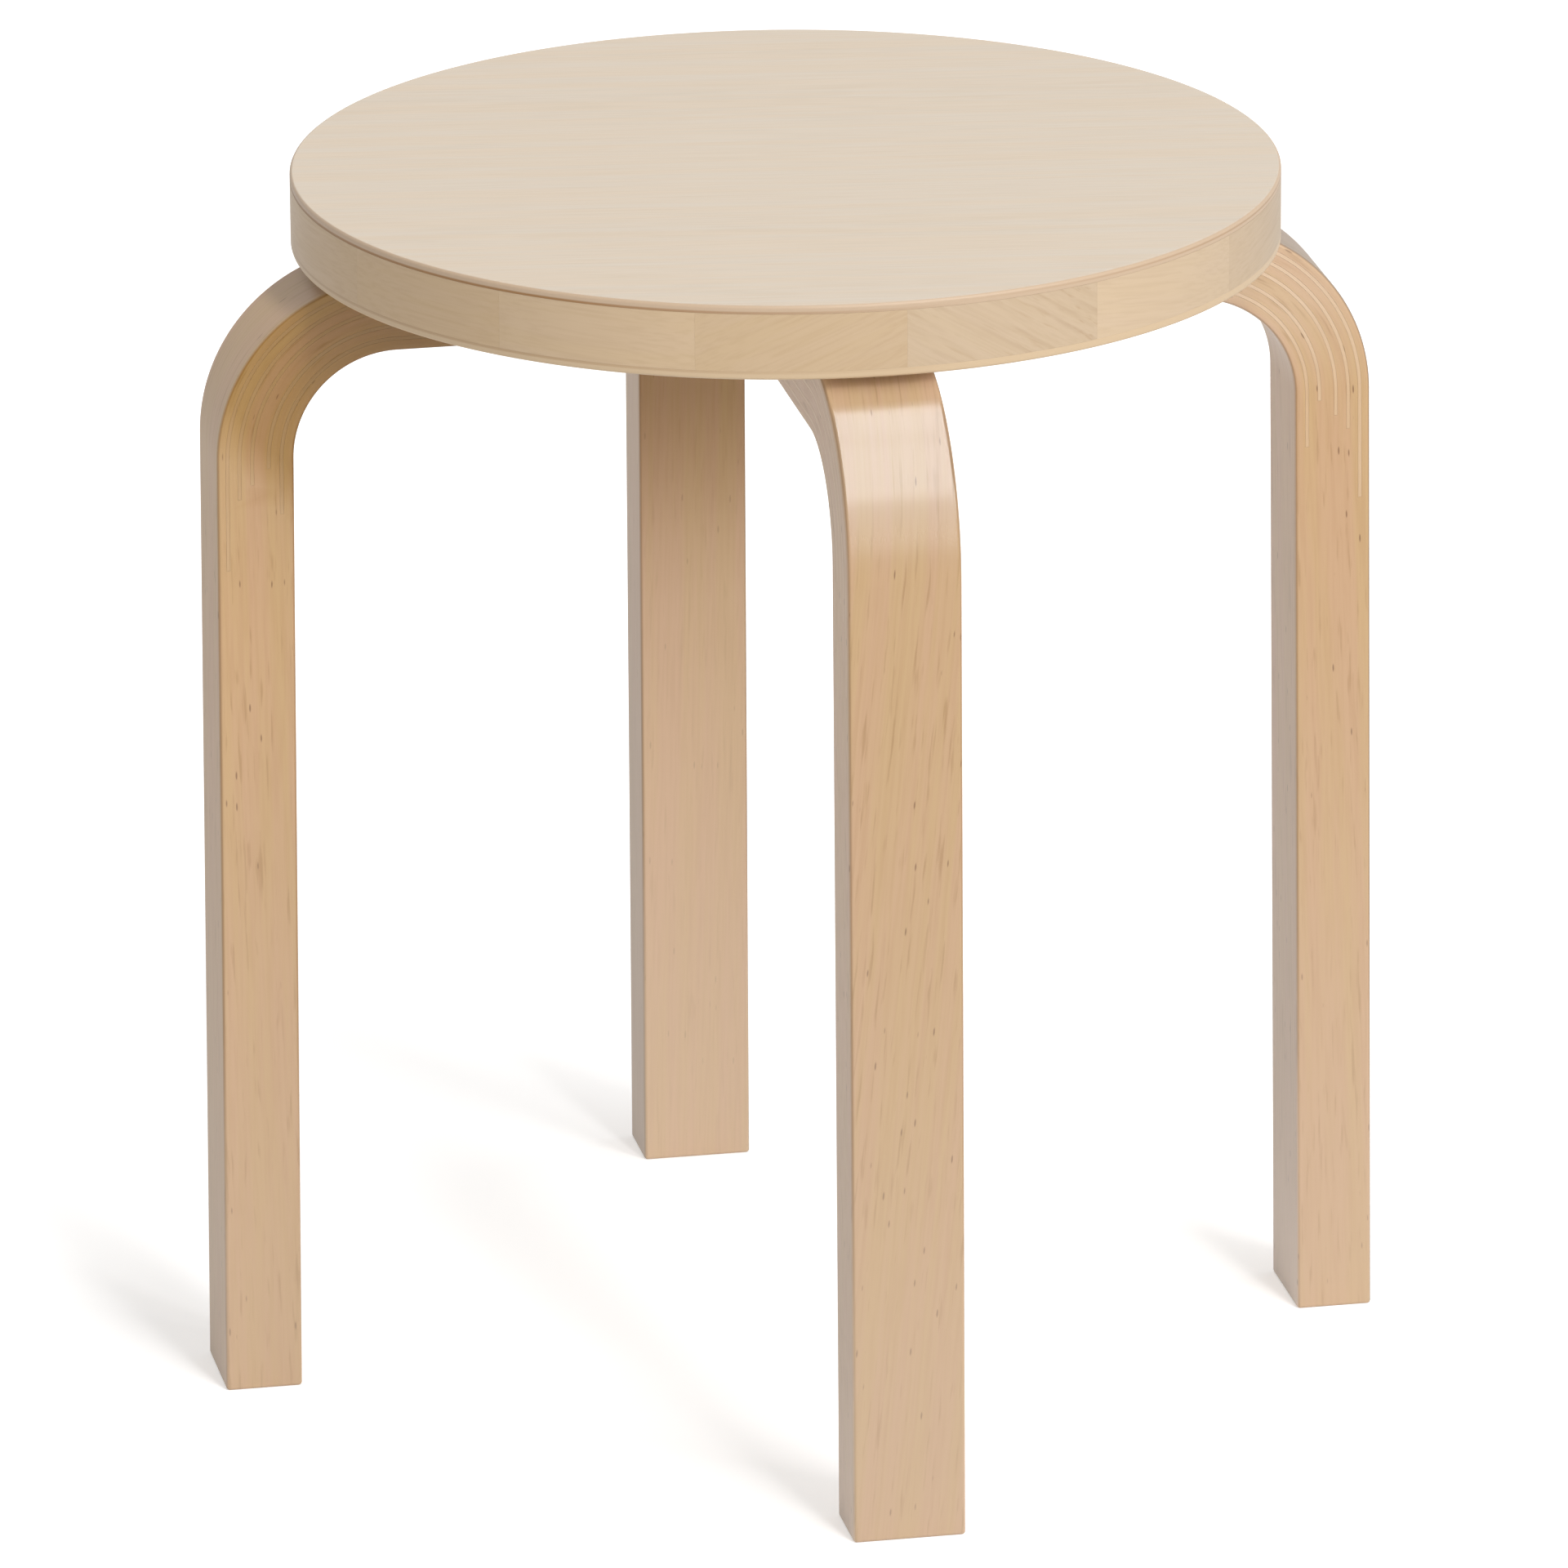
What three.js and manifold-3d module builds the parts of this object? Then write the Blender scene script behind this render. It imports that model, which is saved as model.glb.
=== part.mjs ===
// A round stacking stool of birch: a veneered seat disc screwed onto four bent, L-shaped legs.
// Each leg is one solid bar. Its arm end is sawn open along the grain, the saw cuts are filled
// with thin glued veneers, and the bar is then bent into a knee under the seat.
// Lengths are in millimetres and +Z is up. The origin is on the floor under the seat's centre.
// The front leg stands on -Y, the right leg on +X, the back leg on +Y and the left leg on -X.

import * as THREE from "three";
import { mergeVertices } from "three/addons/utils/BufferGeometryUtils.js";
import Module from "manifold-3d";

const degree = Math.PI / 180;
const quarterTurn = Math.PI / 2;
const wholeTurn = Math.PI * 2;

// Whole stool
const stoolHeight = 440;
const seatDiameter = 350;
const stackingClearance = 8.5; // from the seat's edge out to the inner faces of the feet

// Seat: a core and a ring of solid rim blocks between two thin face sheets
const topSheetThickness = 3;
const rimHeight = 20.5;
const bottomSheetThickness = 3;
const rimWidth = 32;
const rimBlockCount = 15;
const firstRimJoint = -63.4 * degree; // direction of the joint to the right of the front leg
const topEdgeRounding = 1.2;
const bottomEdgeRounding = 1;
const sheetEase = 0.3; // tiny bevel beside each glue line, seen as a fine line round the rim
const glueGap = 0.1;

// Legs
const legWidth = 40;
const legThickness = 27.5;
const legEdgeRounding = 1.4;
const legSplay = 0.5 * degree; // how far the straight part leans outwards
const bendOuterRadius = 65;
const armEndFromCentre = 50;

// Saw cuts in the leg and the veneers in them, counted from the outer face inwards
const sawCutWidth = 1.4;
const veneerThickness = 1.2;
const sawCutDepthShares = [0.136, 0.29, 0.455, 0.67, 0.835]; // of the leg's thickness
const sawCutTailShares = [0.62, 0.22, 0.14, 0.05, 0.31]; // reach past the bend, of its radius

// Countersunk wood screws, driven up through each arm into the seat
const screwDiameter = 4.5;
const screwLength = 40;
const screwHeadDiameter = 9;
const screwHeadRim = 0.5;
const screwTipLength = 5;
const screwRecessDiameter = 4;
const screwRecessDepth = 1.8;
const screwSink = 0.4; // head below the arm's underside
const screwGap = 0.3;
const screwPlaceShares = [0.2, 0.5, 0.8]; // along the straight arm, from its inner end

// Facet counts, and how far a cutting shape runs past what it cuts
const facetsPerRimBlock = 5;
const bendFacets = 12;
const edgeFacets = 3;
const legEdgeFacets = 2;
const screwFacets = 8;
const cutOverrun = 2;
const weldDistance = 1e-4;

// Sizes that follow from those above
const seatRadius = seatDiameter / 2;
const rimInnerRadius = seatRadius - rimWidth;
const seatFacets = rimBlockCount * facetsPerRimBlock;
const topSheetBottom = stoolHeight - topSheetThickness;
const rimBottom = topSheetBottom - rimHeight;
const seatBottom = rimBottom - bottomSheetThickness;
const armUnderside = seatBottom - legThickness;
const innerFootReach = seatRadius + stackingClearance;
const footReach = innerFootReach + legThickness / Math.cos(legSplay);
const bendCentre = findBendCentre();
const armStraightLength = bendCentre.x - armEndFromCentre;
const veneerEndGap = (sawCutWidth - veneerThickness) / 2;

const legPlaces = [
  { name: "front", turn: -quarterTurn },
  { name: "right", turn: 0 },
  { name: "back", turn: quarterTurn },
  { name: "left", turn: 2 * quarterTurn },
];

const legBirch = birch(0xd9b48a, 0.42);
const sheetBirch = birch(0xe2c9a4, 0.4);
const rimBirch = birch(0xcfa878, 0.45);
const veneerBirch = birch(0xe6c79b, 0.5);
const coreBirch = birch(0xc9a87c, 0.7);
const zincSteel = new THREE.MeshStandardMaterial({ color: 0xb9bcc0, roughness: 0.35, metalness: 1 });

const wasm = await Module();
wasm.setup();

const stool = new THREE.Group();
stool.add(makeSeat());
for (const place of legPlaces) {
  stool.add(makeLegWithFittings(place));
}

// Seat

function makeSeat() {
  const seat = new THREE.Group();
  seat.add(makeTopSheet());
  seat.add(makeBottomSheet());
  seat.add(makeCore());
  for (let index = 0; index < rimBlockCount; index++) {
    seat.add(makeRimBlock(index));
  }
  return seat;
}

function makeTopSheet() {
  const profile = sheetProfile(topSheetThickness, topEdgeRounding);
  const sheet = named("seat_top_sheet", turned(profile, seatFacets, firstRimJoint), sheetBirch);
  sheet.position.z = topSheetBottom;
  return sheet;
}

// The bottom sheet is the top sheet's profile upside down, drilled for the screws.
function makeBottomSheet() {
  const profile = sheetProfile(bottomSheetThickness, bottomEdgeRounding);
  const upsideDown = profile.map((point) => new THREE.Vector2(point.x, rimBottom - point.y)).reverse();
  const blank = turned(upsideDown, seatFacets, firstRimJoint);
  return named("seat_bottom_sheet", cut(blank, allScrewHoles()), sheetBirch);
}

function makeCore() {
  const coreRadius = rimInnerRadius - glueGap;
  const profile = [
    new THREE.Vector2(0, rimBottom),
    new THREE.Vector2(coreRadius, rimBottom),
    new THREE.Vector2(coreRadius, topSheetBottom),
    new THREE.Vector2(0, topSheetBottom),
  ];
  const blank = turned(profile, seatFacets, firstRimJoint);
  return named("seat_core", cut(blank, allScrewHoles()), coreBirch);
}

// One solid block of the rim, trimmed by half a glue line at each joint.
function makeRimBlock(index) {
  const from = rimJoint(index) + glueGap / 2 / rimInnerRadius;
  const to = rimJoint(index + 1) - glueGap / 2 / rimInnerRadius;
  const axis = new THREE.Vector2(0, 0);
  const outline = new THREE.Shape([
    ...arcPoints(axis, seatRadius, from, to, facetsPerRimBlock),
    ...arcPoints(axis, rimInnerRadius, to, from, facetsPerRimBlock),
  ]);
  const block = new THREE.ExtrudeGeometry(outline, { depth: rimHeight, bevelEnabled: false });
  const mesh = named("rim_block_" + (index + 1), block, rimBirch);
  mesh.position.z = rimBottom;
  return mesh;
}

function rimJoint(index) {
  return firstRimJoint + (index * wholeTurn) / rimBlockCount;
}

// Half section of a face sheet: eased at the glue line, rounded at the outside.
function sheetProfile(thickness, rounding) {
  const roundingCentre = new THREE.Vector2(seatRadius - rounding, thickness - rounding);
  return [
    new THREE.Vector2(0, 0),
    new THREE.Vector2(seatRadius - sheetEase, 0),
    new THREE.Vector2(seatRadius, sheetEase),
    ...arcPoints(roundingCentre, rounding, 0, quarterTurn, edgeFacets),
    new THREE.Vector2(0, thickness),
  ];
}

// Legs. Each is drawn along +X, with x as the distance from the seat's axis, and then turned.

function makeLegWithFittings(place) {
  const group = new THREE.Group();
  const legName = "leg_" + place.name;
  group.rotation.z = place.turn;
  group.add(named(legName, legGeometry(), legBirch));
  sawCutTailShares.forEach((share, index) => {
    group.add(named(legName + "_veneer_" + (index + 1), veneerGeometry(index), veneerBirch));
  });
  screwPlaceShares.forEach((share, index) => {
    const screw = named(legName + "_screw_" + (index + 1), screwGeometry(), zincSteel);
    screw.position.copy(screwPlace(share));
    group.add(screw);
  });
  return group;
}

// The bar, bent and rounded along its edges, less the saw cuts and the screw holes.
function legGeometry() {
  const bar = new THREE.ExtrudeGeometry(new THREE.Shape(legOutline()), {
    depth: legWidth - 2 * legEdgeRounding,
    bevelEnabled: true,
    bevelThickness: legEdgeRounding,
    bevelSize: legEdgeRounding,
    bevelOffset: -legEdgeRounding,
    bevelSegments: legEdgeFacets,
  });
  bar.translate(0, 0, legEdgeRounding - legWidth / 2);
  bar.rotateX(quarterTurn);
  const sawCuts = sawCutTailShares.map((share, index) => sawCutGeometry(index));
  return cut(bar, [...sawCuts, ...screwHoles()]);
}

// Side view of a leg: along the arm's top, round the bend, down to the foot and back inside.
function legOutline() {
  return [
    new THREE.Vector2(armEndFromCentre, seatBottom),
    ...bendPoints(0),
    ...footCorners(),
    ...bendPoints(legThickness).reverse(),
    new THREE.Vector2(armEndFromCentre, armUnderside),
  ];
}

// The four corners of the bevelled foot, from the outer face to the inner face.
function footCorners() {
  const bevel = legEdgeRounding;
  const lean = bevel * Math.tan(legSplay);
  return [
    new THREE.Vector2(footReach - lean, bevel),
    new THREE.Vector2(footReach - bevel, 0),
    new THREE.Vector2(innerFootReach + bevel, 0),
    new THREE.Vector2(innerFootReach - lean, bevel),
  ];
}

function sawCutGeometry(index) {
  const outline = stripOutline(index, sawCutWidth, armEndFromCentre - cutOverrun, 0);
  return strip(outline, legWidth + 2 * cutOverrun);
}

function veneerGeometry(index) {
  const outline = stripOutline(index, veneerThickness, armEndFromCentre, veneerEndGap);
  return cut(strip(outline, legWidth), screwHoles());
}

// Side view of a strip that follows the bend in the middle of a saw cut.
function stripOutline(index, thickness, armEnd, shortBy) {
  const middle = legThickness * sawCutDepthShares[index];
  const outerDepth = middle - thickness / 2;
  const innerDepth = middle + thickness / 2;
  const tail = bendOuterRadius * sawCutTailShares[index] - shortBy;
  return [
    new THREE.Vector2(armEnd, seatBottom - outerDepth),
    ...bendPoints(outerDepth),
    straightPoint(outerDepth, tail),
    straightPoint(innerDepth, tail),
    ...bendPoints(innerDepth).reverse(),
    new THREE.Vector2(armEnd, seatBottom - innerDepth),
  ];
}

function strip(outline, width) {
  const shape = new THREE.Shape(outline);
  const geometry = new THREE.ExtrudeGeometry(shape, { depth: width, bevelEnabled: false });
  geometry.translate(0, 0, -width / 2);
  geometry.rotateX(quarterTurn);
  return geometry;
}

// Points round the bend at a depth below the leg's outer face, from the arm to the straight part.
function bendPoints(depth) {
  return arcPoints(bendCentre, bendOuterRadius - depth, quarterTurn, legSplay, bendFacets);
}

// A point of the straight part, at a depth below its outer face and a distance past the bend.
function straightPoint(depth, past) {
  const radius = bendOuterRadius - depth;
  return new THREE.Vector2(
    bendCentre.x + radius * Math.cos(legSplay) + past * Math.sin(legSplay),
    bendCentre.y + radius * Math.sin(legSplay) - past * Math.cos(legSplay),
  );
}

// The bend meets the seat's underside at the top and the leaning outer face at the side.
function findBendCentre() {
  const height = seatBottom - bendOuterRadius;
  const bendEndHeight = height + bendOuterRadius * Math.sin(legSplay);
  const bendEndReach = footReach - bendEndHeight * Math.tan(legSplay);
  return new THREE.Vector2(bendEndReach - bendOuterRadius * Math.cos(legSplay), height);
}

// Screws

function screwGeometry() {
  const headRadius = screwHeadDiameter / 2;
  const profile = [
    new THREE.Vector2(0, screwRecessDepth),
    new THREE.Vector2(screwRecessDiameter / 2, 0),
    new THREE.Vector2(headRadius, 0),
    ...screwBody(0),
    new THREE.Vector2(0, screwLength),
  ];
  return turned(profile, screwFacets, 0);
}

// The space that a screw needs, open downwards past the arm's underside.
function screwHoleGeometry() {
  const headRadius = screwHeadDiameter / 2 + screwGap;
  const profile = [
    new THREE.Vector2(0, -screwSink - cutOverrun),
    new THREE.Vector2(headRadius, -screwSink - cutOverrun),
    ...screwBody(screwGap),
    new THREE.Vector2(0, screwLength + screwGap),
  ];
  return turned(profile, screwFacets, 0);
}

// Head rim, countersink cone and shank of a screw, grown by a gap.
function screwBody(gap) {
  const headRadius = screwHeadDiameter / 2 + gap;
  const shankRadius = screwDiameter / 2 + gap;
  const coneHeight = headRadius - shankRadius;
  return [
    new THREE.Vector2(headRadius, screwHeadRim),
    new THREE.Vector2(shankRadius, screwHeadRim + coneHeight),
    new THREE.Vector2(shankRadius, screwLength - screwTipLength),
  ];
}

function screwPlace(share) {
  const reach = armEndFromCentre + armStraightLength * share;
  return new THREE.Vector3(reach, 0, armUnderside + screwSink);
}

// The screw holes of the leg that is drawn along +X.
function screwHoles() {
  return screwPlaceShares.map((share) => {
    const place = screwPlace(share);
    return screwHoleGeometry().translate(place.x, place.y, place.z);
  });
}

// The screw holes of all four legs, for the seat.
function allScrewHoles() {
  return legPlaces.flatMap((place) => screwHoles().map((hole) => hole.rotateZ(place.turn)));
}

// Shared shaping

function birch(color, roughness) {
  return new THREE.MeshStandardMaterial({ color, roughness, metalness: 0 });
}

function named(name, geometry, material) {
  const mesh = new THREE.Mesh(geometry, material);
  mesh.name = name;
  return mesh;
}

// A profile of radius and height, turned round the Z axis with a facet corner at a direction.
function turned(profile, facets, corner) {
  const geometry = new THREE.LatheGeometry(profile, facets, corner + quarterTurn, wholeTurn);
  return geometry.rotateX(quarterTurn);
}

function arcPoints(centre, radius, from, to, facets) {
  const points = [];
  for (let step = 0; step <= facets; step++) {
    const angle = from + ((to - from) * step) / facets;
    const x = centre.x + radius * Math.cos(angle);
    const y = centre.y + radius * Math.sin(angle);
    points.push(new THREE.Vector2(x, y));
  }
  return points;
}

function cut(geometry, tools) {
  let solid = toSolid(geometry);
  for (const tool of tools) {
    solid = solid.subtract(toSolid(tool));
  }
  return toGeometry(solid);
}

function toSolid(geometry) {
  const bare = geometry.clone();
  bare.deleteAttribute("normal");
  bare.deleteAttribute("uv");
  const welded = mergeVertices(bare, weldDistance);
  const mesh = new wasm.Mesh({
    numProp: 3,
    vertProperties: welded.attributes.position.array,
    triVerts: new Uint32Array(welded.index.array),
  });
  return new wasm.Manifold(mesh);
}

function toGeometry(solid) {
  const mesh = solid.getMesh();
  const geometry = new THREE.BufferGeometry();
  geometry.setAttribute("position", new THREE.BufferAttribute(mesh.vertProperties, 3));
  geometry.setIndex(new THREE.BufferAttribute(mesh.triVerts, 1));
  geometry.computeVertexNormals();
  return geometry;
}

export default stool;
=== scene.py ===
# %% [markdown]
# # A stacking stool in birch
# The stool is a round seat on four bent legs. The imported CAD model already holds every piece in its
# right place, with plain faceted surfaces. This lesson rebuilds the pieces that show with smooth
# bends, rounded edges and glued veneers, and then gives them wood, light and a camera.

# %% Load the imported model
import math

import bmesh
import bpy
from mathutils import Matrix, Vector


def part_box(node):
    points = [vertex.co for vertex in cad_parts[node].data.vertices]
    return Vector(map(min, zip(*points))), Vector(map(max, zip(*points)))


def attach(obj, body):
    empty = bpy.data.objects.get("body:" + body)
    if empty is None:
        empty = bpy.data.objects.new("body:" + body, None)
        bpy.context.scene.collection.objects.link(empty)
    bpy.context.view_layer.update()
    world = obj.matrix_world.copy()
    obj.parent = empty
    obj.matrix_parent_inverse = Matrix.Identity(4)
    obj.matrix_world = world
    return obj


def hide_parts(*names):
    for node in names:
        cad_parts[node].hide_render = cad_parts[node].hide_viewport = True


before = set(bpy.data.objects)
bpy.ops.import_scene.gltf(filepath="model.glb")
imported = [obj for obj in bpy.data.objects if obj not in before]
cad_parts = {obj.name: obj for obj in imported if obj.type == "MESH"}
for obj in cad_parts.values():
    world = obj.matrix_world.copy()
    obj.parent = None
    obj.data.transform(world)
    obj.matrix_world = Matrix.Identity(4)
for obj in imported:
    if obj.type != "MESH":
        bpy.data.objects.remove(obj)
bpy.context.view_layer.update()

# %% [markdown]
# ## Sizes
# Heights and reaches are read from the boxes of the CAD nodes, so that each new piece lands exactly
# where the old one was. A box doesn't tell a bend radius or the depth of a saw cut, so those are
# written here as a cabinetmaker would: in millimetres, turned into metres by one factor.

# %% Sizes of the seat
mm = 0.001
quarter_turn = math.radians(90)

top_low, top_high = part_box("seat_top_sheet")
bottom_low, bottom_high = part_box("seat_bottom_sheet")
stool_height = top_high.z
rim_top = top_low.z
rim_bottom = bottom_high.z
seat_bottom = bottom_low.z
seat_radius = 175 * mm
rim_width = 32 * mm
rim_blocks = 15
first_joint = math.radians(-63.4)
print("seat", round(stool_height / mm, 2), round(rim_top / mm, 2), round(seat_bottom / mm, 2))

# %% Sizes of a leg
leg_low, leg_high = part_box("leg_right")
arm_end = leg_low.x
foot_reach = leg_high.x
leg_width = leg_high.y - leg_low.y
leg_thickness = 27.5 * mm
leg_rounding = 1.4 * mm
splay = math.radians(0.5)
bend_radius = 65 * mm
bend_z = seat_bottom - bend_radius
bend_end_z = bend_z + bend_radius * math.sin(splay)
bend_x = foot_reach - bend_end_z * math.tan(splay) - bend_radius * math.cos(splay)
bend_sweep = quarter_turn - splay
bend_centre = [round(n / mm, 2) for n in (bend_x, bend_z)]
print("arm starts at", round(arm_end / mm, 2), "bend centre", bend_centre)

# %% Sizes of the saw cuts, the veneers and the screws
cut_width = 1.3 * mm
veneer_thickness = 1.2 * mm
cut_depths = [share * leg_thickness for share in (0.136, 0.29, 0.455, 0.67, 0.835)]
cut_tails = [share * bend_radius for share in (0.62, 0.22, 0.14, 0.05, 0.31)]
screw_sink = 0.4 * mm  # the head lies this far inside the arm
screw_reaches = [arm_end + (bend_x - arm_end) * share for share in (0.2, 0.5, 0.8)]
print("veneers end", [round((bend_end_z - tail) / mm, 1) for tail in cut_tails], "mm above the floor")

# %% [markdown]
# ## Working helpers
# A bmesh is Blender's mesh workbench: its operators extrude, spin and bevel without any selection or
# edit mode. A few short helpers keep the cells below readable. They gather parts of a mesh, find
# those that lie at a given place, push faces outwards, turn a bmesh into an object, and subtract
# objects from an object.

# %% Gather, push and keep
nearly = 0.01 * mm  # two heights closer than this count as one


def everything(work):
    return work.verts[:] + work.edges[:] + work.faces[:]


def lies_at(part, axis, place):
    return all(abs(corner.co[axis] - place) < nearly for corner in part.verts)


def whole(faces):
    edges = dict.fromkeys(edge for face in faces for edge in face.edges)
    corners = dict.fromkeys(corner for face in faces for corner in face.verts)
    return [*faces, *edges, *corners]


def push(work, faces, offset):
    made = bmesh.ops.extrude_face_region(work, geom=whole(faces))["geom"]
    corners = [part for part in made if isinstance(part, bmesh.types.BMVert)]
    bmesh.ops.translate(work, vec=offset, verts=corners)
    return [part for part in made if isinstance(part, bmesh.types.BMFace)]


def keep_object(work, name):
    bmesh.ops.recalc_face_normals(work, faces=work.faces)
    mesh = bpy.data.meshes.new(name)
    work.to_mesh(mesh)
    work.free()
    made = bpy.data.objects.new(name, mesh)
    bpy.context.collection.objects.link(made)
    return made


# %% Saw and drill
weld = 0.004 * mm  # cuts leave pairs of points closer than this, which are joined


def carve(piece, cutters):
    for cutter in cutters:
        saw = piece.modifiers.new("saw", "BOOLEAN")
        saw.operation = "DIFFERENCE"
        saw.solver = "EXACT"
        saw.object = cutter
        shapes = bpy.context.evaluated_depsgraph_get()
        carved = bpy.data.meshes.new_from_object(piece.evaluated_get(shapes))
        piece.modifiers.clear()
        piece.data = carved
    work = bmesh.new()
    work.from_mesh(piece.data)
    bmesh.ops.remove_doubles(work, verts=work.verts, dist=weld)
    bmesh.ops.dissolve_degenerate(work, edges=work.edges, dist=weld)
    work.to_mesh(piece.data)
    work.free()
    return piece


# %% [markdown]
# ## The bent bar
# A leg is a straight bar of birch that is bent at one end. The bar, its saw cuts and the veneers
# glued into the cuts all follow the same bend, at different depths below the bar's outer face. So
# one function makes them all: a flat section is pushed along the arm, spun round the bend's centre
# and pushed on down the leg. Spinning gives even steps, which shade as one smooth curve.

# %% Bend a bar
bend_steps = 40
slot_steps = 37  # another count, so that no edge of a slot lies on an edge of the bar
corner_steps = 5


def bent_bar(outer_depth, inner_depth, width, start, tail, rounding=0.0, steps=bend_steps):
    work = bmesh.new()
    bmesh.ops.create_grid(work, x_segments=1, y_segments=1, size=0.5)
    bmesh.ops.scale(work, vec=(inner_depth - outer_depth, width, 1), verts=work.verts)
    upright = Matrix.Rotation(quarter_turn, 3, "Y")
    bmesh.ops.rotate(work, cent=(0, 0, 0), matrix=upright, verts=work.verts)
    middle = seat_bottom - (outer_depth + inner_depth) / 2
    bmesh.ops.translate(work, vec=(start, 0, middle), verts=work.verts)
    if rounding:
        bmesh.ops.bevel(
            work, geom=work.verts[:], offset=rounding, affect="VERTICES",
            segments=corner_steps, profile=0.5, material=-1,
        )
    end = push(work, work.faces[:], (bend_x - start, 0, 0))
    end = bmesh.ops.spin(
        work, geom=whole(end), cent=(bend_x, 0, bend_z), axis=(0, 1, 0),
        angle=bend_sweep, steps=steps, use_duplicate=False,
    )["geom_last"]
    end = [part for part in end if isinstance(part, bmesh.types.BMFace)]
    push(work, end, (tail * math.sin(splay), 0, -tail * math.cos(splay)))
    return work


# %% [markdown]
# ## Screws
# Each arm is held to the seat by three countersunk wood screws, seen only from below. A screw is a
# turned shape, so its outline is spun once round. The cross recess is sawn into the head by two
# tapered wedges. The hole is the same outline, grown by a small clearance. A plain shank stands in
# for the thread, which is out of sight in the wood.

# %% Outline of a screw
head_radius = 4.5 * mm
head_rim = 0.5 * mm
shank_radius = 2.25 * mm
screw_length = 40 * mm
screw_tip = 5 * mm
screw_gap = 0.3 * mm
head_edge = 0.15 * mm  # small bevel round the head
turning_steps = 32
hole_overrun = 2 * mm  # the hole's cutter starts this far below the head
seam = 0.001 * mm  # points closer than this are joined where a turned shape closes


def turned(outline):
    work = bmesh.new()
    corners = [work.verts.new((reach, 0, height)) for reach, height in outline]
    edges = [work.edges.new(pair) for pair in zip(corners, corners[1:])]
    bmesh.ops.spin(
        work, geom=corners + edges, cent=(0, 0, 0), axis=(0, 0, 1),
        angle=math.tau, steps=turning_steps, use_merge=True, use_duplicate=False,
    )
    bmesh.ops.remove_doubles(work, verts=work.verts, dist=seam)
    return work


def screw_body(gap):
    cone = head_radius - shank_radius
    return [
        (head_radius + gap, head_rim),
        (shank_radius + gap, head_rim + cone),
        (shank_radius + gap, screw_length - screw_tip),
    ]


# %% Turn a screw and its hole
def screw_blank():
    face = [(0, 0), (head_radius - head_edge, 0), (head_radius, head_edge)]
    return turned(face + screw_body(0) + [(0, screw_length)])


def screw_hole():
    start = -screw_sink - hole_overrun
    mouth = [(0, start), (head_radius + screw_gap, start)]
    return turned(mouth + screw_body(screw_gap) + [(0, screw_length + screw_gap)])


# %% Wedges for the cross recess
recess_span = 4.6 * mm
recess_width = 1.0 * mm
recess_depth = 2.0 * mm
recess_taper = (0.3, 0.6, 1)  # how much of its span and width a wedge keeps at its deep end


def recess_wedge(turn):
    work = bmesh.new()
    bmesh.ops.create_cube(work, size=1)
    bmesh.ops.scale(work, vec=(recess_span, recess_width, 2 * recess_depth), verts=work.verts)
    deep = [corner for corner in work.verts if corner.co.z > 0]
    bmesh.ops.scale(work, vec=recess_taper, verts=deep)
    turned_wedge = Matrix.Rotation(turn, 3, "Z")
    bmesh.ops.rotate(work, cent=(0, 0, 0), matrix=turned_wedge, verts=work.verts)
    return keep_object(work, "wedge")


# %% Make one screw, and the holes of one leg
arm_underside = seat_bottom - leg_thickness

screw_model = keep_object(screw_blank(), "screw_model")
wedges = [recess_wedge(math.radians(45)), recess_wedge(math.radians(135))]
carve(screw_model, wedges)

holes = []
for reach in screw_reaches:
    hole = keep_object(screw_hole(), "hole")
    hole.data.transform(Matrix.Translation((reach, 0, arm_underside + screw_sink)))
    holes.append(hole)
print("screw has", len(screw_model.data.polygons), "faces")
print("holes at", [round(reach / mm, 1) for reach in screw_reaches], "mm from the seat's centre")

# %% [markdown]
# ## A leg
# The bar runs a little past the floor and is cut off level, because the leg leans by half a degree.
# Its arris is eased at the foot and at the hidden end of the arm. Then the five saw cuts and the
# screw holes are taken out of it. The cuts are real slots, so a fine shadow shows on both sides of
# every veneer, as the glue line does on the real stool. A few level lines are also drawn across the
# bar below the bend: they add no shape, only points at which its colour can change.

# %% Ease the cut ends
end_steps = 3


def ease_end(work, flat_faces, offset):
    edges = [part for part in whole(flat_faces) if isinstance(part, bmesh.types.BMEdge)]
    bmesh.ops.bevel(
        work, geom=edges, offset=offset, affect="EDGES",
        segments=end_steps, profile=0.5, material=-1, clamp_overlap=False,
    )


# %% Shape the leg's bar
past_floor = 10 * mm
foot_easing = 1.1 * mm
arm_easing = 0.8 * mm
level_lines = (5, 11, 18, 26, 36, 48, 65, 85, 105, 130)  # in mm below the bend

bar = bent_bar(0, leg_thickness, leg_width, arm_end, bend_end_z + past_floor, leg_rounding)
for below_bend in level_lines:
    height = bend_end_z - below_bend * mm
    bmesh.ops.bisect_plane(bar, geom=everything(bar), plane_co=(0, 0, height), plane_no=(0, 0, 1))
cut = bmesh.ops.bisect_plane(
    bar, geom=everything(bar), plane_co=(0, 0, 0), plane_no=(0, 0, -1), clear_outer=True)
foot_edges = [part for part in cut["geom_cut"] if isinstance(part, bmesh.types.BMEdge)]
foot_face = bmesh.ops.contextual_create(bar, geom=foot_edges)["faces"]
ease_end(bar, foot_face, foot_easing)
arm_face = [face for face in bar.faces if lies_at(face, 0, arm_end)]
ease_end(bar, arm_face, arm_easing)
leg_model = keep_object(bar, "leg_model")
print("bar has", len(leg_model.data.polygons), "faces")

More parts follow.
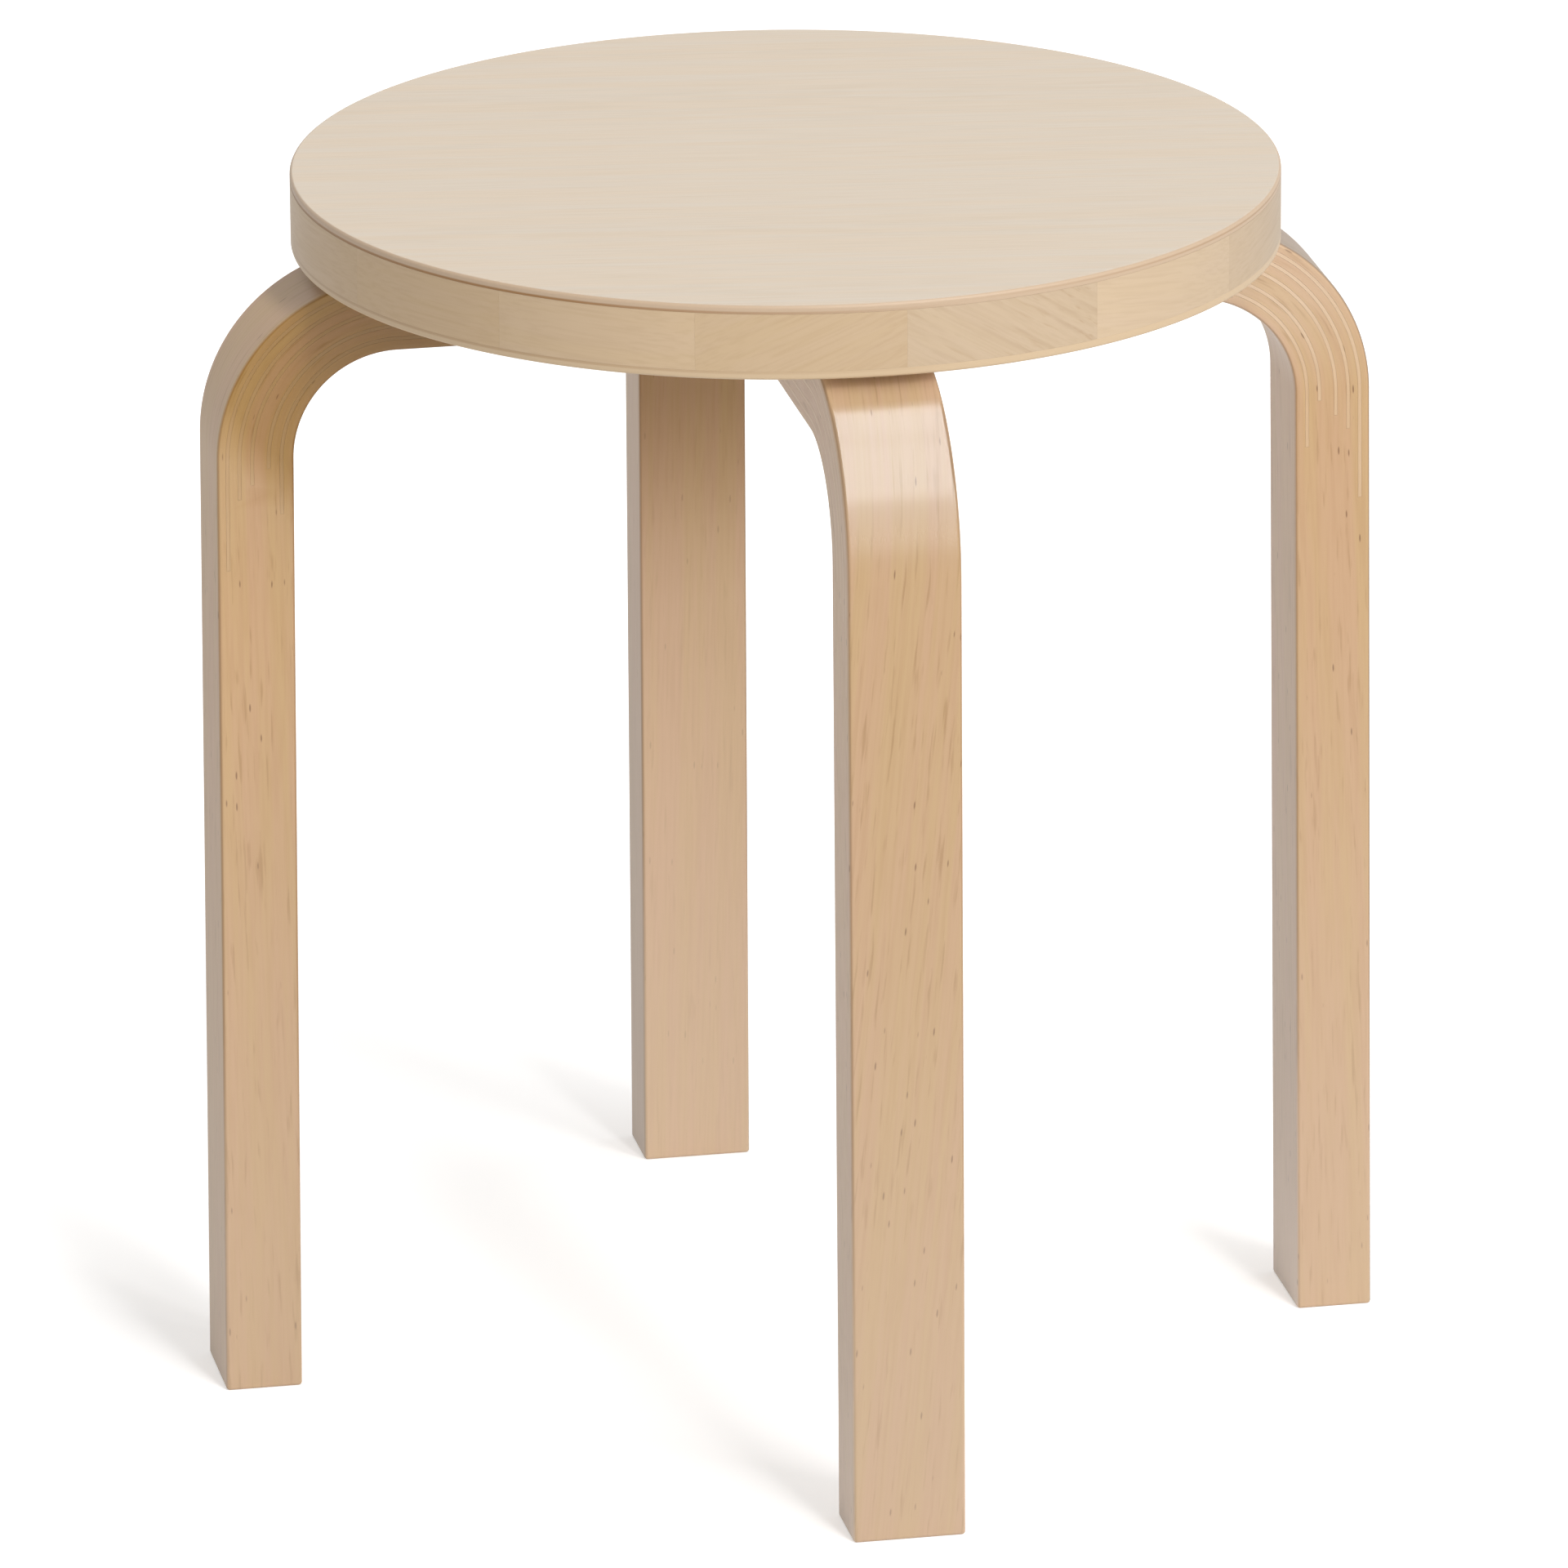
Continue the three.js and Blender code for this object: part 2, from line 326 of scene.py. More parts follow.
# %% Saw the slots, drill the holes, fit the veneers
saw_start = arm_end - 1 * mm
saw_width = leg_width * 1.2
half_cut, half_veneer = cut_width / 2, veneer_thickness / 2
slots = []
veneer_models = []
for depth, tail in zip(cut_depths, cut_tails):
    slot = bent_bar(
        depth - half_cut, depth + half_cut, saw_width, saw_start, tail, steps=slot_steps)
    slots.append(keep_object(slot, "slot"))
    short = tail - (half_cut - half_veneer)
    strip = bent_bar(depth - half_veneer, depth + half_veneer, leg_width, arm_end, short)
    veneer_models.append(carve(keep_object(strip, "veneer_model"), holes))

carve(leg_model, slots + holes)
print("sawn leg has", len(leg_model.data.polygons), "faces")

# %% [markdown]
# ## Grain that follows the bend
# Wood fibres run along the bar and turn with it round the bend. A pattern on plain object
# coordinates would cut straight across the bend, so every vertex stores where it lay in the bar
# before bending: how far along, how far across, and how deep. The wood material reads that as an
# attribute called "grain". A second attribute, "look", holds how light a piece is, how strong its
# colour is, and how clearly its rings, strokes and flecks show. Partly that is the piece's own tone,
# since no two pieces of birch are quite alike; on the legs and on the rim it also carries painted
# light and painted shade. Single numbers, the marks, are kept in the same way: "arris" and "polish"
# on the legs, and "below_face" on the face sheets. The "arris" mark carries a painted shade.

# %% Straighten a point of the leg
bend_length = bend_sweep * (bend_radius - leg_thickness / 2)


def unbent(point):
    x, z = point.x - bend_x, point.z - bend_z
    if x <= 0 and z > 0:
        return x, bend_radius - z
    angle = math.atan2(x, z)
    if angle < bend_sweep:
        return angle * (bend_radius - leg_thickness / 2), bend_radius - math.hypot(x, z)
    past = x * math.sin(splay) - z * math.cos(splay)
    radius = x * math.cos(splay) + z * math.sin(splay)
    return bend_length + past, bend_radius - radius


def write_vectors(mesh, name, vectors):
    layer = mesh.attributes.new(name, "FLOAT_VECTOR", "POINT")
    layer.data.foreach_set("vector", [n for vector in vectors for n in vector])


# %% Copy a model to its place
sharp_angle = math.radians(35)


def placed_copy(model, name, matrix, grain_of, look_of, marks=None):
    mesh = model.data.copy()
    mesh.name = name
    points = [vertex.co.copy() for vertex in mesh.vertices]
    write_vectors(mesh, "grain", [grain_of(point) for point in points])
    write_vectors(mesh, "look", [look_of(point) for point in points])
    for mark, value_of in (marks or {}).items():
        layer = mesh.attributes.new(mark, "FLOAT", "POINT")
        layer.data.foreach_set("value", [value_of(point) for point in points])
    mesh.transform(matrix)
    mesh.shade_smooth()
    mesh.set_sharp_from_angle(angle=sharp_angle)
    piece = bpy.data.objects.new(name, mesh)
    bpy.context.collection.objects.link(piece)
    flat = piece.modifiers.new("flat faces stay flat", "WEIGHTED_NORMAL")
    flat.keep_sharp = True
    return piece


def even_look(tone):
    def look_of(point):
        return tone, 1.0, 1.0
    return look_of


def stand_for(piece, node, material):
    piece.data.materials.clear()
    piece.data.materials.append(material)
    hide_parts(node)
    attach(piece, "root")


# %% [markdown]
# ## Writing materials
# Materials are node trees. One helper adds a node, sets its options and fills its inputs, where an
# input is either a plain value or another node's output. The wood is then written as a short recipe
# instead of a long list of links.

# %% Add a node
def add_node(tree, kind, inputs=(), **options):
    made = tree.nodes.new("ShaderNode" + kind)
    for option, value in options.items():
        setattr(made, option, value)
    for socket, value in dict(inputs).items():
        if isinstance(value, bpy.types.NodeSocket):
            tree.links.new(value, made.inputs[socket])
        else:
            made.inputs[socket].default_value = value
    return made


def mix_colour(tree, share, first, second):
    made = add_node(tree, "Mix", data_type="RGBA")
    for socket, value in ((0, share), (6, first), (7, second)):
        if isinstance(value, bpy.types.NodeSocket):
            tree.links.new(value, made.inputs[socket])
        else:
            made.inputs[socket].default_value = value
    return made.outputs[2]


def ramp(tree, value, low, high):
    made = add_node(
        tree, "MapRange", {"Value": value, "From Min": low, "From Max": high},
        interpolation_type="SMOOTHSTEP",
    )
    return made.outputs["Result"]


# %% [markdown]
# ## Birch
# Birch is pale and nearly even. What shows is layered: broad drifts between a yellow and a pink
# tone, faint year rings, fine fibres, thin brown strokes a few centimetres long and short dark
# flecks. Each layer is a mask that mixes one darker colour in. The rings are a wave texture of
# cylinders round the log's heart, which lies outside the bar, so they make lines along the faces
# and arcs on the ends. Clear lacquer lies over the wood and gives it its strong satin reflection.

# %% Layers of birch
# A scale counts features per metre: along the fibres, across them and in depth.
wave_period = 0.3142  # between two rings of a wave texture whose scale is 1


def scaled(tree, source, scale):
    return add_node(tree, "Mapping", {"Vector": source, "Scale": scale}).outputs["Vector"]


def multiply(tree, first, second):
    return add_node(tree, "Math", {0: first, 1: second}, operation="MULTIPLY").outputs[0]


def layer(tree, colour, mask, share, tint):
    return mix_colour(tree, multiply(tree, mask, share), colour, tint)


def noise(tree, grain, scale, detail):
    stretched = scaled(tree, grain, scale)
    made = add_node(tree, "TexNoise", {"Vector": stretched, "Scale": 1, "Detail": detail})
    return made.outputs["Fac"]


def ring_mask(tree, grain, ring_gap):
    rings = add_node(
        tree, "TexWave",
        {"Vector": scaled(tree, grain, (0.03, 1, 1)), "Scale": wave_period / ring_gap,
         "Distortion": 3.6, "Detail": 3, "Detail Scale": 0.45, "Detail Roughness": 0.6},
        wave_type="RINGS", rings_direction="X", wave_profile="SAW",
    )
    ring = rings.outputs["Fac"]
    late_wood = multiply(tree, ramp(tree, ring, 0.3, 0.85), ramp(tree, ring, 1.0, 0.85))
    patches = ramp(tree, noise(tree, grain, (34, 150, 150), 2), 0.4, 0.66)
    return multiply(tree, late_wood, patches)


def fleck_mask(tree, grain, density):
    stretched = scaled(tree, grain, (85, 400, 400))
    cells = add_node(tree, "TexVoronoi", {"Vector": stretched, "Scale": 1})
    near = ramp(tree, cells.outputs["Distance"], 0.17, 0.07)
    chance = add_node(tree, "SeparateColor", {"Color": cells.outputs["Color"]})
    return multiply(tree, near, ramp(tree, chance.outputs["Red"], 1 - density, 1.02 - density))


# %% Birch material
# dark_birch is also the colour of the painted shade along the leg arrises and at the sheets' edges
dark_birch = (0.30, 0.155, 0.055, 1)
golden_birch = (0.34, 0.19, 0.07, 1)
fleck_brown = (0.16, 0.07, 0.025, 1)
fleck_density = 0.3  # share of the cells that hold a fleck
polish_gain = -0.51  # how far full polish lowers the roughness, as a share of it
satin_spread = 0.06
lacquer_gloss = 0.5


def birch(name, pale, warm, late, rings, ring_gap, strokes, flecks, satin, extra_layers=None):
    material = bpy.data.materials.new(name)
    material.use_nodes = True
    tree = material.node_tree
    wood = tree.nodes["Principled BSDF"]
    grain = add_node(tree, "Attribute", attribute_name="grain").outputs["Vector"]
    look = add_node(tree, "Attribute", attribute_name="look").outputs["Vector"]
    look = add_node(tree, "SeparateXYZ", {"Vector": look})
    tone, warmth, figure = (look.outputs[axis] for axis in "XYZ")

    fibres = noise(tree, grain, (22, 900, 900), 4)
    drift = ramp(tree, noise(tree, grain, (4, 170, 170), 3), 0.35, 0.65)
    colour = mix_colour(tree, drift, pale, warm)
    ring = ring_mask(tree, grain, ring_gap)
    colour = layer(tree, colour, ring, multiply(tree, figure, rings), late)
    colour = layer(tree, colour, ramp(tree, fibres, 0.38, 0.72), 0.2, late)
    stroke = ramp(tree, noise(tree, grain, (42, 640, 640), 2), 0.57, 0.75)
    colour = layer(tree, colour, stroke, multiply(tree, figure, strokes), golden_birch)
    fleck = fleck_mask(tree, grain, fleck_density)
    colour = layer(tree, colour, fleck, multiply(tree, figure, flecks), fleck_brown)
    if extra_layers:
        colour = extra_layers(tree, colour)
    own = add_node(tree, "HueSaturation", {"Color": colour, "Value": tone, "Saturation": warmth})
    tree.links.new(own.outputs["Color"], wood.inputs["Base Color"])

    satin_range = {"Value": fibres, "To Min": satin - satin_spread, "To Max": satin + satin_spread}
    rough = add_node(tree, "MapRange", satin_range).outputs["Result"]
    polish = add_node(tree, "Attribute", attribute_name="polish").outputs["Fac"]
    polished = {0: polish, 1: polish_gain, 2: 1}
    smoother = add_node(tree, "Math", polished, operation="MULTIPLY_ADD").outputs[0]
    tree.links.new(multiply(tree, rough, smoother), wood.inputs["Roughness"])
    relief = add_node(tree, "Bump", {"Height": fibres, "Strength": 0.06, "Distance": 0.05 * mm})
    tree.links.new(relief.outputs["Normal"], wood.inputs["Normal"])
    wood.inputs["Specular IOR Level"].default_value = lacquer_gloss
    return material


# %% [markdown]
# ## Layers on top of the birch
# Extra layers add what belongs to one kind of piece. The legs turn paler towards the floor, and
# a painted shade darkens their arrises, except near the feet. A face sheet is made of thin veneers,
# and its edge shows them: below the face its colour changes. A dark line runs round it at the glue
# joint, partly the joint's own colour and partly painted shade, and a thin dark line lies just below
# the rounding.
# In the photograph the line near the glue joint shows on the left and the upper one on the right,
# so each fades out towards the middle.

# %% Finish of the legs
paler_birch = (0.61, 0.485, 0.38, 1)


def place_on(tree, axis):
    place = add_node(tree, "TexCoord").outputs["Object"]
    return add_node(tree, "SeparateXYZ", {"Vector": place}).outputs[axis]


def leg_paling_and_arris_shade(tree, colour):
    height = place_on(tree, "Z")
    paler = ramp(tree, height, 0.34, 0.0)
    colour = layer(tree, colour, paler, 0.36, paler_birch)
    # painted shade along the arrises, full from 0.16 m above the floor and gone below 0.05 m
    arris = add_node(tree, "Attribute", attribute_name="arris").outputs["Fac"]
    darker = multiply(tree, arris, ramp(tree, height, 0.05, 0.16))
    return layer(tree, colour, darker, 0.55, dark_birch)


# %% Finish of the face sheets
side_starts = 0.16 * mm  # below the face
upper_line, upper_line_width = 1.45 * mm, 0.5 * mm
glue_line, glue_line_width = 2.6 * mm, 0.8 * mm


def edge_line(tree, colour, depth, place, width, share):
    apart = add_node(tree, "Math", {0: depth, 1: place}, operation="SUBTRACT").outputs[0]
    apart = add_node(tree, "Math", {0: apart}, operation="ABSOLUTE").outputs[0]
    line = ramp(tree, apart, width, 0.25 * width)
    return mix_colour(tree, multiply(tree, line, share), colour, dark_birch)


def fading(tree, across, start, end, share):
    reach = {"From Min": start, "From Max": end, "To Min": 0, "To Max": share}
    return add_node(tree, "MapRange", {"Value": across, **reach}).outputs["Result"]


def sheet_edge_lines_and_shade(side_tint, glue_and_shade_share, upper_share):
    def extra_layers(tree, colour):
        depth = add_node(tree, "Attribute", attribute_name="below_face").outputs["Fac"]
        side = ramp(tree, depth, 0.0, side_starts)
        colour = layer(tree, colour, side, 1.0, side_tint)
        across = place_on(tree, "X")
        # the line at the glue joint is partly the joint's dark colour and partly painted shade: full
        # on the left, where the light grazes the edge, it fades out towards the middle; the line below
        # the rounding is painted on the right only
        glue_and_shade_here = fading(tree, across, 0.03, -0.11, glue_and_shade_share)
        upper_here = fading(tree, across, 0.02, 0.16, upper_share)
        colour = edge_line(tree, colour, depth, glue_line, glue_line_width, glue_and_shade_here)
        return edge_line(tree, colour, depth, upper_line, upper_line_width, upper_here)
    return extra_layers


# %% Mix the birches of the stool
# Three colours make each birch: its pale wood, its warm wood and its late wood.
leg_birch = birch(
    "leg_birch", (0.532, 0.333, 0.188, 1), (0.525, 0.343, 0.170, 1), (0.41, 0.23, 0.10, 1),
    rings=0.14, ring_gap=3.4 * mm, strokes=0.52, flecks=0.7, satin=0.44, extra_layers=leg_paling_and_arris_shade)
veneer_birch = birch(
    "veneer_birch", (0.62, 0.435, 0.27, 1), (0.62, 0.43, 0.26, 1), (0.46, 0.28, 0.14, 1),
    rings=0.1, ring_gap=3.4 * mm, strokes=0.1, flecks=0.0, satin=0.46)
rim_birch = birch(
    "rim_birch", (0.54, 0.397, 0.253, 1), (0.536, 0.393, 0.242, 1), (0.39, 0.255, 0.142, 1),
    rings=0.4, ring_gap=4.6 * mm, strokes=0.3, flecks=0.12, satin=0.44)
face_recipe = {
    "pale": (0.635, 0.547, 0.444, 1),
    "warm": (0.648, 0.536, 0.412, 1),
    "late": (0.523, 0.42, 0.30, 1),
    "rings": 0.14, "ring_gap": 9 * mm, "strokes": 0.05, "flecks": 0.03,
}
top_edge_and_shade = sheet_edge_lines_and_shade((0.50, 0.367, 0.25, 1), 1.0, 0.55)
face_birch = birch("face_birch", extra_layers=top_edge_and_shade, satin=0.46, **face_recipe)
bottom_edge_and_shade = sheet_edge_lines_and_shade((0.565, 0.42, 0.265, 1), 0.4, 0.0)
underface_birch = birch("underface_birch", extra_layers=bottom_edge_and_shade, satin=0.44, **face_recipe)
print("birches:", [m.name for m in bpy.data.materials if m.name.endswith("_birch")])

# %% [markdown]
# ## Set up the four legs
# The finished leg is copied four times and turned about the seat's axis, with its veneers and
# screws. Every copy writes its grain before it is turned, in the leg's own straight frame.

# %% Zinc-plated screws
zinc = bpy.data.materials.new("zinc")
zinc.use_nodes = True
zinc_tree = zinc.node_tree
zinc_shader = zinc_tree.nodes["Principled BSDF"]
zinc_shader.inputs["Metallic"].default_value = 1
place = add_node(zinc_tree, "TexCoord").outputs["Object"]
bloom = add_node(zinc_tree, "TexNoise", {"Vector": place, "Scale": 900, "Detail": 3}).outputs["Fac"]
zinc_colour = mix_colour(zinc_tree, bloom, (0.52, 0.53, 0.56, 1), (0.72, 0.72, 0.70, 1))
zinc_tree.links.new(zinc_colour, zinc_shader.inputs["Base Color"])
haze = add_node(zinc_tree, "MapRange", {"Value": bloom, "To Min": 0.28, "To Max": 0.42})
zinc_tree.links.new(haze.outputs["Result"], zinc_shader.inputs["Roughness"])
print("zinc has", len(zinc_tree.nodes), "nodes")

# %% Boards of the legs
# Each leg is turned about the seat's axis. Its grain is shifted along, across and in depth, in metres,
# as if it came from another board, and slants a little. "figure" is how clearly the wood is marked,
# and "polish" how much smoother the lacquer is on the outside of the bend.
# The pairs are tone and warmth: how light the wood is, and how strong its colour. One pair each
# stands for the straight part, the bend and the arm. Going up the leg, the bend's pair begins to
# show at "onset", in mm below the bend, and has taken over "fade" mm further up. With a "lag",
# the onset lies lower the deeper a point is below the outer face.
# Only the surfaces in "bent" take the bend's and the arm's pair. The pairs "outer", "inner" and
# "side" multiply what a surface has, and "strips" does it for the veneers.
# Beside each board's own tone, these pairs hold painted light and shade. The left leg's bend and arm
# pairs, and the back leg's bend pair, which begins far below the bend, paint the seat's shadow; the
# front leg's arm pair paints light into the shade under the seat, and its bend pair darkens the bend
# where its highlight lies. "outer", "inner", "side" and "strips" paint how much light each face and
# the veneers get.
leg_boards = {
    "front": {
        "turn": -90, "shift": (0.31, 0.082, 0.006), "slant": (0.095, 0.02),
        "figure": 1.0, "polish": 1.0,
        "straight": (0.905, 0.98), "bend": (0.66, 0.94), "arm": (2.2, 0.72),
        "onset": -2, "lag": 0, "fade": 26, "bent": ("outer",),
        "outer": (1.0, 1.0), "inner": (1.0, 1.0), "side": (1.28, 0.77), "strips": (0.95, 1.0)},
    "right": {
        "turn": 0, "shift": (1.72, 0.070, 0.012), "slant": (0.03, 0.02),
        "figure": 1.0, "polish": 0.0,
        "straight": (0.945, 1.0), "bend": (1.02, 0.85), "arm": (1.28, 0.7),
        "onset": 0, "lag": 0, "fade": 35, "bent": ("outer", "side", "inner"),
        "outer": (0.62, 0.8), "inner": (1.34, 0.62), "side": (1.0, 1.0), "strips": (0.955, 1.02)},
    "back": {
        "turn": 90, "shift": (2.90, 0.094, 0.009), "slant": (-0.02, 0.03),
        "figure": 0.4, "polish": 0.3,
        "straight": (1.175, 0.92), "bend": (0.68, 1.15), "arm": (0.6, 1.2),
        "onset": 116, "lag": 0, "fade": 72, "bent": ("inner",),
        "outer": (1.0, 1.0), "inner": (1.0, 1.0), "side": (0.88, 0.84), "strips": (0.95, 1.0)},
    "left": {
        "turn": 180, "shift": (4.25, 0.077, 0.005), "slant": (0.03, -0.02),
        "figure": 1.0, "polish": 0.0,
        "straight": (0.967, 1.02), "bend": (0.69, 1.24), "arm": (0.55, 1.2),
        "onset": -2, "lag": 0.9, "fade": 18, "bent": ("side", "inner"),
        "outer": (0.97, 0.93), "inner": (1.0, 1.0), "side": (1.0, 1.0), "strips": (0.84, 1.12)},
}

# %% Grain and look of a leg
arris_reach = 0.45 * leg_rounding
polish_end = bend_length + 22 * mm
polish_fade = 48 * mm
bend_gain = 1.6  # the arm's look has given way to the bend's 1 / 1.6 of the way round


def leg_grain(shift, slant):
    def grain_of(point):
        along, depth = unbent(point)
        across = point.y + shift[1] + slant[0] * along
        deep = depth + shift[2] + slant[1] * along
        return along + shift[0], across, deep
    return grain_of


def leg_look(board, strips=(1.0, 1.0)):
    straight, bend, arm = (Vector(board[place]) for place in ("straight", "bend", "arm"))

    def look_of(point):
        along, depth = unbent(point)
        from_face = min(depth, leg_thickness - depth)
        surface = "outer" if depth < leg_thickness / 2 else "inner"
        if leg_width / 2 - abs(point.y) < from_face:
            surface = "side"
        start = bend_length + board["onset"] * mm + board["lag"] * depth
        end = start - board["fade"] * mm
        # the bend's and the arm's pairs hold painted shade and light near the seat; the surface pairs
        # below paint how much light each face gets
        if surface not in board["bent"]:
            look = straight
        elif along > end:
            look = bend.lerp(straight, min((along - end) / (start - end), 1))
        else:
            look = arm.lerp(bend, min(max(along, 0) * bend_gain / end, 1))
        shade = board[surface]
        return look.x * shade[0] * strips[0], look.y * shade[1] * strips[1], board["figure"]
    return look_of


def arris_of(point):
    depth = unbent(point)[1]
    from_side = leg_width / 2 - abs(point.y)
    from_face = min(depth, leg_thickness - depth)
    return 1.0 if max(from_side, from_face) < arris_reach else 0.0


def polish_of(strength):
    def value_of(point):
        along, depth = unbent(point)
        into_bend = min(max((polish_end - along) / polish_fade, 0), 1)
        return strength * into_bend if depth < arris_reach else 0.0
    return value_of


# %% Place legs, veneers and screws
strip_board = 0.7  # every veneer's grain starts this much further along, in metres
screw_turn = 37  # degrees that each screw's cross is turned past the one before

for side, board in leg_boards.items():
    turn = Matrix.Rotation(math.radians(board["turn"]), 4, "Z")
    shift, slant = board["shift"], board["slant"]
    strip_look = leg_look(board, board["strips"])
    leg = placed_copy(
        leg_model, f"leg_{side}_bar", turn, leg_grain(shift, slant), leg_look(board),
        marks={"arris": arris_of, "polish": polish_of(board["polish"])})
    stand_for(leg, f"leg_{side}", leg_birch)
    for number, model in enumerate(veneer_models, 1):
        strip_shift = (shift[0] + strip_board * number, shift[1], shift[2])
        strip = placed_copy(
            model, f"leg_{side}_strip_{number}", turn, leg_grain(strip_shift, slant), strip_look)
        stand_for(strip, f"leg_{side}_veneer_{number}", veneer_birch)
    for number, reach in enumerate(screw_reaches, 1):
        up = Matrix.Translation((reach, 0, arm_underside + screw_sink))
        driven = Matrix.Rotation(math.radians(screw_turn * number + board["turn"]), 4, "Z")
        screw = placed_copy(
            screw_model, f"leg_{side}_woodscrew_{number}", turn @ up @ driven, tuple, even_look(1.0))
        stand_for(screw, f"leg_{side}_screw_{number}", zinc)
print("legs placed:", ", ".join(leg_boards))

# %% [markdown]
# ## The rim
# The seat's edge is a ring of fifteen solid blocks. Each is sawn from a straight board, so its
# fibres run along a chord while the rim curves. That is why the year rings meet the outer face as
# slanting or arched lines, and why they change at every joint. Storing straight board coordinates
# on a curved block gives those lines by themselves.

# %% Saw one rim block
block_steps = 24
hairline = 0.02 * mm


def rim_block(start, end):
    work = bmesh.new()
    bmesh.ops.create_grid(work, x_segments=1, y_segments=1, size=0.5)
    bmesh.ops.scale(work, vec=(rim_width, rim_top - rim_bottom, 1), verts=work.verts)
    upright = Matrix.Rotation(quarter_turn, 3, "X")
    bmesh.ops.rotate(work, cent=(0, 0, 0), matrix=upright, verts=work.verts)
    middle = (seat_radius - rim_width / 2, 0, (rim_top + rim_bottom) / 2)
    bmesh.ops.translate(work, vec=middle, verts=work.verts)
    to_start = Matrix.Rotation(start, 3, "Z")
    bmesh.ops.rotate(work, cent=(0, 0, 0), matrix=to_start, verts=work.verts)
    bmesh.ops.spin(
        work, geom=everything(work), cent=(0, 0, 0), axis=(0, 0, 1),
        angle=end - start, steps=block_steps, use_duplicate=False,
    )
    return work


# %% Boards of the rim
block_sweep = math.tau / rim_blocks
block_board = 0.6  # every block's grain starts this much further along, in metres
least_figure = 0.3  # a block's figure grows from this share of its own to all of it
block_boards = [
    # fibre tilt in plan, fibre slant on the face and ring tilt in degrees, distance to the log's
    # heart in mm, and the look: tone at the start and the end, warmth, figure. The tones are partly
    # the blocks' own; where those of blocks 1 and 2 fall towards the stool's right, they paint the
    # light falling off there.
    (4, 9, 72, 70, (1.015, 0.96, 0.92, 0.2)),
    (-3, -4, 70, 60, (0.905, 0.81, 0.95, 0.2)),
    (2, 0, 60, 80, (0.86, 0.95, 0.9, 0.2)),
    (-6, 5, 66, 66, (1.0, 0.97, 1.0, 0.4)),
    (3, -3, 48, 90, (0.96, 0.99, 0.96, 0.3)),
    (0, -8, 75, 75, (1.0, 0.97, 1.0, 0.3)),
    (5, 4, 64, 62, (1.0, 1.02, 0.95, 0.4)),
    (-2, 0, 80, 85, (0.99, 0.96, 1.0, 0.25)),
    (3, -6, 62, 72, (0.98, 1.01, 0.96, 0.4)),
    (-4, 3, 56, 64, (1.0, 0.98, 1.0, 0.3)),
    (2, -2, 70, 88, (0.98, 0.97, 1.04, 0.15)),
    (-3, 0, 75, 78, (0.985, 0.985, 1.05, 0.1)),
    (1, 2, 82, 70, (1.01, 1.03, 1.0, 0.1)),
    (-2, -24, 80, 82, (0.98, 0.935, 1.03, 0.2)),
    (3, 31, 78, 68, (0.95, 0.93, 0.92, 1.1)),
]


def board_look(start, look):
    def look_of(point):
        share = min((math.atan2(point.y, point.x) - start) % math.tau / block_sweep, 1)
        # the tone runs from the block's start to its end; on blocks 1 and 2 this paints the light
        # falling off towards the stool's right
        tone = look[0] + (look[1] - look[0]) * share
        return tone, look[2], look[3] * (least_figure + (1 - least_figure) * share)
    return look_of


def board_grain(middle_angle, board, number):
    tilt, slant, ring_tilt, heart, _ = board
    square = Matrix.Rotation(math.radians(tilt) - middle_angle, 3, "Z")
    lean = Matrix.Rotation(math.radians(slant), 3, "X")
    ring_angle = math.radians(ring_tilt)
    beside, behind = heart * mm * math.sin(ring_angle), heart * mm * math.cos(ring_angle)

    def grain_of(point):
        inwards, along, height = lean @ (square @ point - Vector((seat_radius, 0, rim_bottom)))
        return along + block_board * number, height + beside, behind - inwards
    return grain_of


# %% Place the rim blocks
half_hairline = hairline / 2 / seat_radius
for number, board in enumerate(block_boards, 1):
    start = first_joint + (number - 1) * block_sweep
    end = start + block_sweep
    model = keep_object(rim_block(start + half_hairline, end - half_hairline), "block_model")
    grain_of = board_grain(start + block_sweep / 2, board, number)
    look_of = board_look(start, board[4])
    block = placed_copy(model, f"rim_piece_{number}", Matrix(), grain_of, look_of)
    stand_for(block, f"rim_block_{number}", rim_birch)
    bpy.data.objects.remove(model)
print("rim blocks:", len(block_boards))

# %% [markdown]
# ## The face sheets
# A thin sheet of veneer covers each side of the seat. The upper one carries the rounded edge that
# catches the light all the way round. Each starts as a filled circle that is pushed to its
# thickness; its outer arris is then rounded and the one on the glue line just eased.

# %% Make a face sheet
circle_steps = 240
rounding_steps, easing_steps = 6, 2


def face_sheet(bottom, thickness, upper_rounding, lower_rounding):
    work = bmesh.new()
    bmesh.ops.create_circle(work, cap_ends=True, segments=circle_steps, radius=seat_radius)
    bmesh.ops.translate(work, vec=(0, 0, bottom), verts=work.verts)
    push(work, work.faces[:], (0, 0, thickness))
    larger = max(upper_rounding, lower_rounding)
    for height, rounding in ((bottom + thickness, upper_rounding), (bottom, lower_rounding)):
        rim = [edge for edge in work.edges if lies_at(edge, 2, height)]
        segments = rounding_steps if rounding == larger else easing_steps
        bmesh.ops.bevel(
            work, geom=rim, offset=rounding, affect="EDGES",
            segments=segments, profile=0.5, material=-1)
    return work


# %% Place the face sheets
sheet_grain_turn = math.radians(8)
sheet_from_heart = 0.4  # metres, so the rings are nearly straight lines


def sheet_grain(shift):
    turned_sheet = Matrix.Rotation(sheet_grain_turn, 3, "Z")

    def grain_of(point):
        along, beside, height = turned_sheet @ point
        return along + shift, beside, height + sheet_from_heart
    return grain_of


def depth_below(face_height):
    return lambda point: abs(point.z - face_height)


top_rounding = 1.2 * mm
bottom_rounding = 1.0 * mm
glue_line_easing = 0.12 * mm

